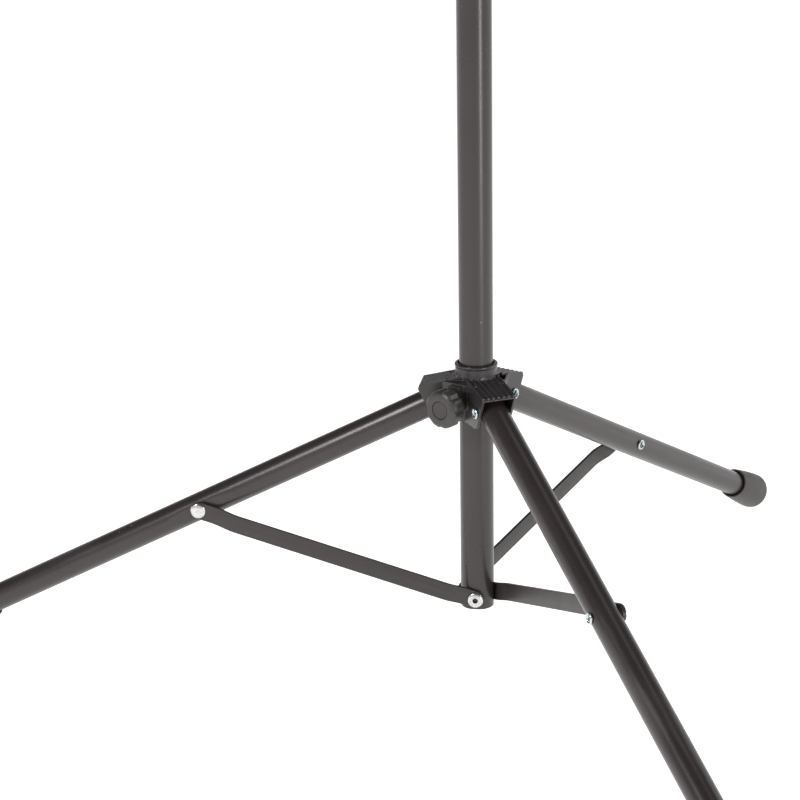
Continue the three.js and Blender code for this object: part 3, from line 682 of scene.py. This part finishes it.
def brace_bar(leg):
    """A flat bar with round ends, joggled at both, its edges rounded by a bevel."""
    arc = [math.pi / 2 * i / 10 for i in range(1, 11)]
    left = [(-BAR_HALF * math.cos(a), BAR_HALF * math.sin(a)) for a in arc]
    right = [(BAR_LENGTH - x, h) for x, h in reversed(left)]
    inner = [
        (x, BAR_HALF)
        for x in [
            *steps(4, BAR_RISE[1] + 6, 2),
            *steps(BAR_RISE[1] + 16, BAR_LENGTH - BAR_FALL[0] - 16, 30),
            *steps(BAR_LENGTH - BAR_FALL[0] - 6, BAR_LENGTH - 4, 2),
        ]
    ]
    columns = [(-BAR_HALF, 0), *left, *inner, *right, (BAR_LENGTH + BAR_HALF, 0)]
    points, faces, rows = [], [], []
    for x, half in columns:
        face = bar_offset(x)
        row = []
        for y in (face, face + BAR_THICK):
            row.append(len(points))
            points.append((x, y, half))
            row.append(len(points))
            points.append((x, y, -half))
        rows.append(row)
    for (a, b, c, d), (e, f, g, h) in zip(rows, rows[1:]):
        faces += [[a, b, f, e], [c, g, h, d], [a, e, g, c], [b, d, h, f]]
    made = object_from(f"brace_bar_{leg}_fine", points, faces, 40)
    bevel = made.modifiers.new("edges", "BEVEL")
    bevel.width = 0.55 * MM
    bevel.segments = 3
    bevel.limit_method = "ANGLE"
    bevel.angle_limit = math.radians(50)
    made = evaluated(made, f"brace_bar_{leg}_fine")
    tidy_mesh(made.data, 40)
    place(made, f"brace_bar_{leg}", bar_place(leg), BAR_PAINT)


def bar_place(leg):
    return spoke(leg) @ shift(0, 0, BRACE_PIVOT_Z) @ turn(-BAR_SLOPE, "Y")


# ---- Rivets ---------------------------------------------------------------------------------
# Drawn about Z with the head up; ALONG_Y then lays the head towards +Y.
ALONG_Y = turn(-math.pi / 2, "X")


def dome(radius, height, seat, bore=0.0, depth=0.0):
    """A domed head's outline from its rim to its middle."""
    points = [(radius - 0.35, seat, 0.2), (radius, seat + 0.7, 0.5)]
    for i in range(1, 11):
        angle = math.pi / 2 * i / 10
        r = radius * math.cos(angle)
        if r < bore + 0.7:
            break
        points.append((r, seat + 0.7 + (height - 0.7) * math.sin(angle)))
    if not bore:
        return [*points, (0, seat + height)]
    top = points[-1][1]
    hollow = [(bore + 0.5, top + 0.1, 0.3), (bore, top - 0.5, 0.4), (bore, top - depth)]
    return [*points, *hollow, (0, top - depth)]


def flared_tail(seat):
    """A tubular tail rolled over its seat, from the bottom of its hollow to its rim."""
    radius, height, bore, depth = (TAIL[key] for key in ("radius", "height", "bore", "depth"))
    lip = seat - height
    return [
        (0, lip + depth),
        (bore - 1, lip + depth, 0.4),
        (bore - 0.9, seat, 1.5),
        (bore + 0.5, lip + 0.2, 0.6),
        (bore + 1.1, lip, 0.5),
        (radius - 0.7, lip + 0.3, 0.7),
        (radius, seat - 0.9, 0.9),
        (radius - 0.5, seat),
        (SHANK_R, seat),
    ]


def rivet(name, node, profile, matrix, finish, segments=64):
    made = turned(name, profile, segments, sharp=45)
    made.data.transform(ALONG_Y)
    place(made, node, matrix, finish)


def leg_rivets(leg):
    at_leg = leg_place(leg) @ shift(BRACE_AT)
    tail = [*flared_tail(-LEG_R - GAP), (SHANK_R, LEG_R), (0, LEG_R)]
    rivet(f"brace_rivet_tail_{leg}_fine", f"brace_rivet_tail_{leg}", tail, at_leg, ZINC_TAIL)
    seat = BAR_AT_LEG + BAR_THICK + GAP
    head = [(0, BAR_AT_LEG), (SHANK_R, BAR_AT_LEG), (SHANK_R, seat), *dome(*BIG_HEAD, seat)]
    at_bar = bar_place(leg) @ shift(BAR_LENGTH)
    rivet(f"brace_rivet_head_{leg}_fine", f"brace_rivet_head_{leg}", head, at_bar, ZINC)


def washer(leg):
    """A nylon spacer between a leg's flat and its bar."""
    inner, low, high = SHANK_R + GAP, LEG_FLAT + GAP, LEG_R
    profile = [(inner, low), (WASHER_R, low, 0.3), (WASHER_R, high, 0.4), (inner, high, 0.2)]
    made = turned(f"brace_washer_{leg}_fine", profile, 64, closed=True)
    made.data.transform(ALONG_Y)
    place(made, f"brace_washer_{leg}", leg_place(leg) @ shift(BRACE_AT), NYLON)


def mast_rivet(leg):
    seat = BAR_AT_MAST + BAR_THICK + GAP
    inside = MAST_FLAT - MAST_WALL
    blind = SHANK_R + 1.4
    profile = [
        (0, inside - 3.2), (blind - 0.4, inside - 3.2, 0.4), (blind, inside - 1.5),
        (blind, inside - GAP), (SHANK_R, inside - GAP), (SHANK_R, seat),
        *dome(*BIG_HEAD, seat, MAST_HEAD_BORE_R, MAST_HEAD_BORE_DEPTH),
    ]
    at = spoke(leg) @ shift(0, 0, BRACE_PIVOT_Z)
    rivet(f"mast_rivet_{leg}_fine", f"mast_rivet_{leg}", profile, at, ZINC_SHADED_BORE)


def hub_pivot(leg):
    seat = ARM_WIDTH / 2 + GAP
    profile = [*flared_tail(-seat), (SHANK_R, seat), *dome(*SMALL_HEAD, seat)]
    at = spoke(leg) @ shift(PIVOT_R, 0, PIVOT_Z)
    rivet(f"hub_pivot_{leg}_fine", f"hub_pivot_{leg}", profile, at, ZINC_TAIL)


# ---- Hub ------------------------------------------------------------------------------------
def roof_at(x):
    return ROOF_AT_PIVOT + (PIVOT_R - x) * math.tan(ROOF_SLOPE)


def arm_solids():
    """One arm about its own plane: the roofed block, then the lengthwise ribs on the roof."""
    half = ARM_WIDTH / 2
    sunk = RIB_HEIGHT / math.cos(ROOF_SLOPE)
    edge = ARM_OUT - 1.5
    outline = filleted([
        (ARM_ROOT, HUB_BOTTOM), (HUB_R + 4, HUB_BOTTOM, 3), (ARM_FOOT - 2, ARM_FOOT_Z - 1.9, 2.4),
        (ARM_FOOT + 1.2, ARM_FOOT_Z + 2, 2.2), (ARM_OUT, roof_at(ARM_OUT) - 4, 1),
        (edge, roof_at(edge) - sunk), (ARM_ROOT, roof_at(ARM_ROOT) - sunk),
    ], closed=True)
    solids = [prism(outline, -half, half)]
    pitch = (ARM_WIDTH - RIB_WIDTH) / (RIB_COUNT - 1)
    for i in range(RIB_COUNT):
        middle = -half + RIB_WIDTH / 2 + i * pitch
        foot, crest = RIB_WIDTH / 2, RIB_WIDTH / 2 - 0.5
        if i in (0, RIB_COUNT - 1):
            foot = crest = RIB_WIDTH / 2
        solids.append(rib(middle, foot, crest))
    return solids


def rib(middle, foot, crest):
    """A ridge along the roof: wide at its foot, narrower at its crest."""
    points = []
    for x in (ARM_ROOT, ARM_OUT - 1.2):
        low = roof_at(x) - 2 * RIB_HEIGHT - 1
        high = roof_at(x)
        points += [(x, middle - foot, low), (x, middle + foot, low)]
        points += [(x, middle + crest, high), (x, middle - crest, high)]
    faces = [[0, 1, 2, 3], [7, 6, 5, 4]]
    faces += [[i, i + 4, (i + 1) % 4 + 4, (i + 1) % 4] for i in range(4)]
    return points, faces


def arm_channel():
    """The space under an arm's roof, between its walls, where the leg's end turns."""
    half = ARM_WIDTH / 2 - ARM_WALL

    def under(x):
        return roof_at(x) - ARM_WALL / math.cos(ROOF_SLOPE) - RIB_HEIGHT

    near, far, low = 20, 2 * ARM_OUT, 3 * HUB_BOTTOM
    outline = [(near, low), (far, low), (far, under(far)), (near, under(near))]
    return prism(outline, -half, half)


def clamp_cuts(tube_radius, height):
    """A clamp's pad pocket and stud hole, about the knob's axis."""
    pocket = tube_radius + GAP + PAD_THICK + PAD_TRAVEL + 1
    along = (turn(KNOB_AZIMUTH + math.pi / 2), slide(0, 0, height), turn(math.pi / 2, "X"))
    return [
        moved(rod(PAD_R + 0.5, tube_radius / 2, pocket), *along),
        moved(rod(SHANK_R + GAP, 5, 2 * BOSS_OUT), *along),
    ]


def hub():
    """The die casting: barrel and lip, three ribbed arms, the webs between them and the boss."""
    azimuths = list(LEGS.values())
    between = [azimuth + math.pi / 3 for azimuth in azimuths]
    along = (turn(KNOB_AZIMUTH + math.pi / 2), slide(0, 0, HUB_KNOB_Z), turn(math.pi / 2, "X"))
    lip = HUB_TOP - HUB_LIP
    neck = HUB_R - HUB_LIP_STEP
    barrel = filleted([
        (0, HUB_BOTTOM), (HUB_R, HUB_BOTTOM), (HUB_R, WEB_TOP), (neck, WEB_TOP + 4), (neck, lip, 0.3),
        (HUB_R, lip + 0.6, 0.4), (HUB_R, HUB_TOP, 1.9), (0, HUB_TOP),
    ])
    added = [lathe(barrel, 96), moved(rod(BOSS_R, 10, BOSS_OUT), *along)]
    added.append(moved(block(10, BOSS_OUT - 3, -8, 8, HUB_KNOB_Z, WEB_TOP - 2), turn(KNOB_AZIMUTH)))
    for azimuth in azimuths:
        added += [moved(solid, turn(azimuth)) for solid in arm_solids()]
    for azimuth in between:
        added.append(moved(block(0, WEB_OUT, -22, 22, WEB_TOP - WEB_THICK, WEB_TOP), turn(azimuth)))
    cut = [moved(arm_channel(), turn(azimuth)) for azimuth in azimuths]
    for azimuth in between:
        if abs(math.remainder(azimuth - KNOB_AZIMUTH, 2 * math.pi)) > 0.1:
            pocket = block(HUB_R + 1.5, WEB_OUT - 2.5, -9, 9, WEB_TOP - WEB_POCKET, HUB_TOP)
            cut.append(moved(pocket, turn(azimuth)))
    for azimuth in azimuths:
        hole = moved(rod(SHANK_R + GAP, -120, 120, 32), slide(PIVOT_R), turn(math.pi / 2, "X"))
        cut.append(moved(hole, turn(azimuth)))
    mouth = HUB_TOP - HUB_MOUTH_DEPTH
    bore = [
        (0, 2 * HUB_BOTTOM), (HUB_BORE_R, 2 * HUB_BOTTOM), (HUB_BORE_R, mouth - 2),
        (HUB_MOUTH_R, mouth), (HUB_MOUTH_R, 2 * HUB_TOP), (0, 2 * HUB_TOP),
    ]
    cut.append(lathe(bore, 96))
    cut += clamp_cuts(MAST_R, HUB_KNOB_Z)
    made = casting("hub_fine", added, cut)
    place(made, "hub", Matrix.Translation(AXIS) @ shift(0, 0, PIVOT_Z), CASTING)


# ---- Collar ---------------------------------------------------------------------------------
def collar():
    """The mast's upper casting: a sleeve on the tube, a wider mouth and the clamp's boss."""
    top = COLLAR_TOP
    body = filleted([
        (0, MAST_TOP - COLLAR_BELOW), (HUB_R, MAST_TOP - COLLAR_BELOW, 1.5), (HUB_R, MAST_TOP - 8, 2),
        (HUB_R + COLLAR_SWELL, MAST_TOP - 2, 2), (HUB_R + COLLAR_SWELL, top, 2), (0, top),
    ])
    bore = [
        (0, MAST_TOP - 2 * COLLAR_BELOW), (MAST_R + GAP, MAST_TOP - 2 * COLLAR_BELOW),
        (MAST_R + GAP, MAST_TOP + GAP), (POLE_R + 2 * GAP, MAST_TOP + GAP),
        (POLE_R + 2 * GAP, top - BUSH_DEPTH), (COLLAR_BORE_R, top - BUSH_DEPTH),
        (COLLAR_BORE_R, 2 * top), (0, 2 * top),
    ]
    knob_z = MAST_TOP + COLLAR_KNOB_Z
    along = (turn(KNOB_AZIMUTH + math.pi / 2), slide(0, 0, knob_z), turn(math.pi / 2, "X"))
    gusset_foot = MAST_TOP - COLLAR_BELOW + 6
    side = [(10, gusset_foot), (HUB_R + 1, gusset_foot), (BOSS_OUT - 6, knob_z), (10, knob_z)]
    gusset = moved(prism(side, -BOSS_R / 2, BOSS_R / 2), turn(KNOB_AZIMUTH))
    added = [lathe(body, 96), moved(rod(BOSS_R, 10, BOSS_OUT), *along), gusset]
    cut = [lathe(bore, 96), *clamp_cuts(POLE_R, knob_z)]
    made = casting("mast_collar_fine", added, cut, voxel=0.5)
    place(made, "mast_collar", Matrix.Translation(AXIS), CASTING)


def collar_rivet(side, azimuth):
    seat = HUB_R + GAP
    shank, inner = COLLAR_RIVET["shank"], MAST_R - MAST_WALL + 0.05
    profile = [
        (0, inner), (shank, inner), (shank, seat),
        *dome(COLLAR_RIVET["head"], COLLAR_RIVET["height"], seat),
    ]
    made = turned(f"collar_rivet_{side}_fine", profile, 40)
    made.data.transform(turn(math.pi / 2, "Y"))
    low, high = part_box(f"collar_rivet_{side}")
    at = Matrix.Translation(AXIS) @ turn(azimuth) @ shift(0, 0, (low.z + high.z) / 2 / MM)
    place(made, f"collar_rivet_{side}", at, ZINC)


def collar_bush():
    inner, outer = POLE_R + GAP, POLE_R + GAP + BUSH_WALL
    low, high = COLLAR_TOP - BUSH_DEPTH + GAP, COLLAR_TOP + BUSH_RISE
    profile = [
        (inner, low), (outer, low), (outer, COLLAR_TOP + GAP),
        (outer + BUSH_LIP, COLLAR_TOP + GAP, 0.4), (outer + BUSH_LIP, high, 0.7), (inner, high, 0.8),
    ]
    made = turned("mast_collar_bush_fine", profile, 96, closed=True)
    place(made, "mast_collar_bush", Matrix.Translation(AXIS), NYLON)


def end_plug(node, rim, edge, matrix, finish):
    """A moulded plug in an end of the pole, drawn with the tube's end at z = 0."""
    spigot = POLE_R - POLE_WALL - GAP
    profile = [
        (0, -PLUG_DEPTH), (spigot, -PLUG_DEPTH, 1.5), (spigot, GAP),
        (POLE_R, GAP, 0.3), (POLE_R, rim, edge), (0, rim),
    ]
    made = turned(f"{node}_fine", profile, 96)
    place(made, node, matrix, finish)


# ---- Clamp knobs ----------------------------------------------------------------------------
def knob_points(back):
    """The grip's skin, from the neck round the rim to the recess, with a scoop between lobes."""
    front = back + NECK_LENGTH + KNOB_DEPTH
    rear = back + NECK_LENGTH
    recess = front - KNOB_CAP_THICK - KNOB_CAP_SUNK - GAP
    skin = filleted([
        (0, back), (NECK_R, back, 0.8), (NECK_R, rear, 0.8), (KNOB_R, rear, 2.2),
        (KNOB_R, front - 3.2, 2.4), (KNOB_R - 4.6, front, 2.6),
        (KNOB_CAP_R + GAP + 0.2, front, 0.7), (KNOB_CAP_R + GAP, recess), (0, recess),
    ], steps=6)
    split = next(i for i, p in enumerate(skin) if p[0] > KNOB_R - 0.01 and p[1] > rear)
    low, high = skin[split][1], front - 5.7
    wall = [(KNOB_R, z) for z in steps(rear + 3, front - 6, 1.4) if low < z < high]
    return skin[: split + 1] + wall + skin[split + 1 :], front


def knob(name, node, matrix):
    """The moulded grip with its scooped rim; returns how far out its face is."""
    back = BOSS_OUT + KNOB_CLEAR
    skin, front = knob_points(back)
    segments = 24 * KNOB_LOBES
    points, faces = lathe(skin, segments)
    scooped = []
    for x, y, z in points:
        radius = math.hypot(x, y)
        if radius > NECK_R + 2:
            angle = math.atan2(y, x)
            lobe = max(0.0, math.cos(KNOB_LOBES * angle))
            depth = SCOOP_DEPTH * lobe**1.6
            reach = smooth_step((front - 1.2 - z) / 3.6) * 0.75 + 0.25
            outer = smooth_step((radius - (KNOB_R - 5.5)) / 4.5)
            shrink = 1 - depth * reach * outer / radius
            x, y = x * shrink, y * shrink
        scooped.append((x, y, z))
    made = object_from(name, scooped, faces, 50)
    made.data.transform(ALONG_Y)
    place(made, node, matrix, KNOB_PLASTIC)
    return front


def clamp(name, height, tube_radius):
    """One clamp's knob, cap, pad and threaded stud, about an axis that looks out from the mast."""
    at = Matrix.Translation(AXIS) @ turn(KNOB_AZIMUTH - math.pi / 2) @ shift(0, 0, height)
    front = knob(f"{name}_knob_fine", f"{name}_knob", at)
    cap_back = front - KNOB_CAP_THICK - KNOB_CAP_SUNK
    top = cap_back + KNOB_CAP_THICK
    cap = [
        (0, cap_back), (KNOB_CAP_R, cap_back), (KNOB_CAP_R, top, 0.6),
        (KNOB_CAP_R - 1.6, top - 0.15, 0.5), (0, top - 0.25),
    ]
    pad_in = tube_radius + GAP
    pad_out = pad_in + PAD_THICK
    pad = [(0, pad_in), (PAD_R, pad_in, 0.4), (PAD_R, pad_out, 0.6), (0, pad_out)]
    stud = [(0, pad_out + GAP)]
    for z in steps(pad_out + GAP, front - 6, THREAD_STEP):
        stud.append((SHANK_R - (THREAD_DEPTH if len(stud) % 2 else 0), z))
    stud.append((0, front - 6))
    pieces = (("knob_cap", cap, CAP_PLASTIC), ("pad", pad, NYLON), ("stud", stud, STEEL))
    for suffix, profile, finish in pieces:
        made = turned(f"{name}_{suffix}_fine", profile, 64)
        made.data.transform(ALONG_Y)
        place(made, f"{name}_{suffix}", at, finish)


# ---- The object -----------------------------------------------------------------------------
lower_tube()
upper_tube()
hub()
collar()
collar_bush()
collar_rivet("right", 0)
collar_rivet("left", math.pi)
for leg in LEGS:
    leg_tube(leg)
    leg_foot(leg)
    brace_bar(leg)
    leg_rivets(leg)
    washer(leg)
    mast_rivet(leg)
    hub_pivot(leg)
clamp("hub_clamp", PIVOT_Z + HUB_KNOB_Z, MAST_R)
clamp("mast_clamp", MAST_TOP + COLLAR_KNOB_Z, POLE_R)
at_axis = Matrix.Translation(AXIS)
end_plug("top_cap", *TOP_CAP, at_axis @ shift(0, 0, POLE_TOP), CAP_PLASTIC)
pole_foot = at_axis @ shift(0, 0, POLE_BOTTOM) @ turn(math.pi, "X")
end_plug("upper_tube_plug", *GUIDE_PLUG, pole_foot, NYLON)


# ---- Camera, light and floor ----------------------------------------------------------------
def camera():
    """A long lens, low and in front, a little off the knob's side."""
    azimuth, yaw, pitch, roll = (math.radians(a) for a in (36.545, -2.094, 17.35, -0.974))
    distance, height, lens = 2.3404, 0.73217, 98.42
    out = Vector((math.sin(azimuth), -math.cos(azimuth), 0))
    position = AXIS + out * distance + Vector((0, 0, height + PIVOT_Z * MM))
    heading = azimuth - yaw
    level = math.cos(pitch)
    ahead = Vector((-math.sin(heading) * level, math.cos(heading) * level, -math.sin(pitch)))
    right = Vector((math.cos(heading), math.sin(heading), 0))
    up = right.cross(ahead)
    across = right * math.cos(roll) + up * math.sin(roll)
    upright = up * math.cos(roll) - right * math.sin(roll)
    data = bpy.data.cameras.new("camera")
    data.sensor_width = 36
    data.lens = lens
    made = bpy.data.objects.new("camera", data)
    bpy.context.scene.collection.objects.link(made)
    basis = Matrix((across, upright, -ahead)).transposed().to_4x4()
    made.matrix_world = Matrix.Translation(position) @ basis
    bpy.context.scene.camera = made


def softbox(name, position, aim, size, power):
    data = bpy.data.lights.new(name, "AREA")
    data.shape = "RECTANGLE"
    data.size, data.size_y = size
    data.energy = power
    made = bpy.data.objects.new(name, data)
    bpy.context.scene.collection.objects.link(made)
    made.location = position
    made.rotation_euler = (Vector(aim) - Vector(position)).to_track_quat("-Z", "Y").to_euler()


def studio():
    world = bpy.data.worlds.new("studio")
    bpy.context.scene.world = world
    world.use_nodes = True
    nodes, links = world.node_tree.nodes, world.node_tree.links
    where = nodes.new("ShaderNodeTexCoord")
    apart = nodes.new("ShaderNodeSeparateXYZ")
    ramp = nodes.new("ShaderNodeValToRGB")
    links.new(where.outputs["Generated"], apart.inputs["Vector"])
    links.new(apart.outputs["Z"], ramp.inputs["Fac"])
    ramp.color_ramp.elements[0].position = 0.12
    ramp.color_ramp.elements[0].color = (1, 0.99, 0.985, 1)
    ramp.color_ramp.elements[1].position = 0.46
    ramp.color_ramp.elements[1].color = (0.08, 0.08, 0.085, 1)
    links.new(ramp.outputs["Color"], nodes["Background"].inputs["Color"])
    softbox("left", (-0.41, -2.28, 1.76), (0, -0.15, 0.35), (0.7, 0.8), 33)
    softbox("right", (2.5, -0.75, 0.5), (0, -0.15, 0.35), (0.45, 0.95), 15)
    softbox("behind", (1.9, 2.1, 1.5), (0.2, -0.1, 0.3), (1.7, 1.4), 26)
    softbox("overhead", (0.2, 0.5, 2.7), (0, -0.15, 0.3), (1.3, 0.9), 2.5)


def floor():
    finish = Finish("floor", (0.9, 0.9, 0.9), 0.8)
    cloud = finish.noise(1.5, 3)
    finish.set("Base Color", finish.blend(cloud, (0.89, 0.89, 0.89), (0.91, 0.91, 0.91)))
    finish.bumps((finish.noise(40, 3), 0.02, 0.5))
    finish.set("Emission Color", (1, 1, 1, 1))
    finish.set("Emission Strength", 0.86)
    far = 6e4
    corners = [(-far, -far, 0), (far, -far, 0), (far, far, 0), (-far, far, 0)]
    made = object_from("floor", corners, [[0, 1, 2, 3]])
    made.location.z = -0.0005
    made.data.materials.append(finish.material)


camera()
studio()
floor()
bpy.context.scene.view_settings.view_transform = "Standard"
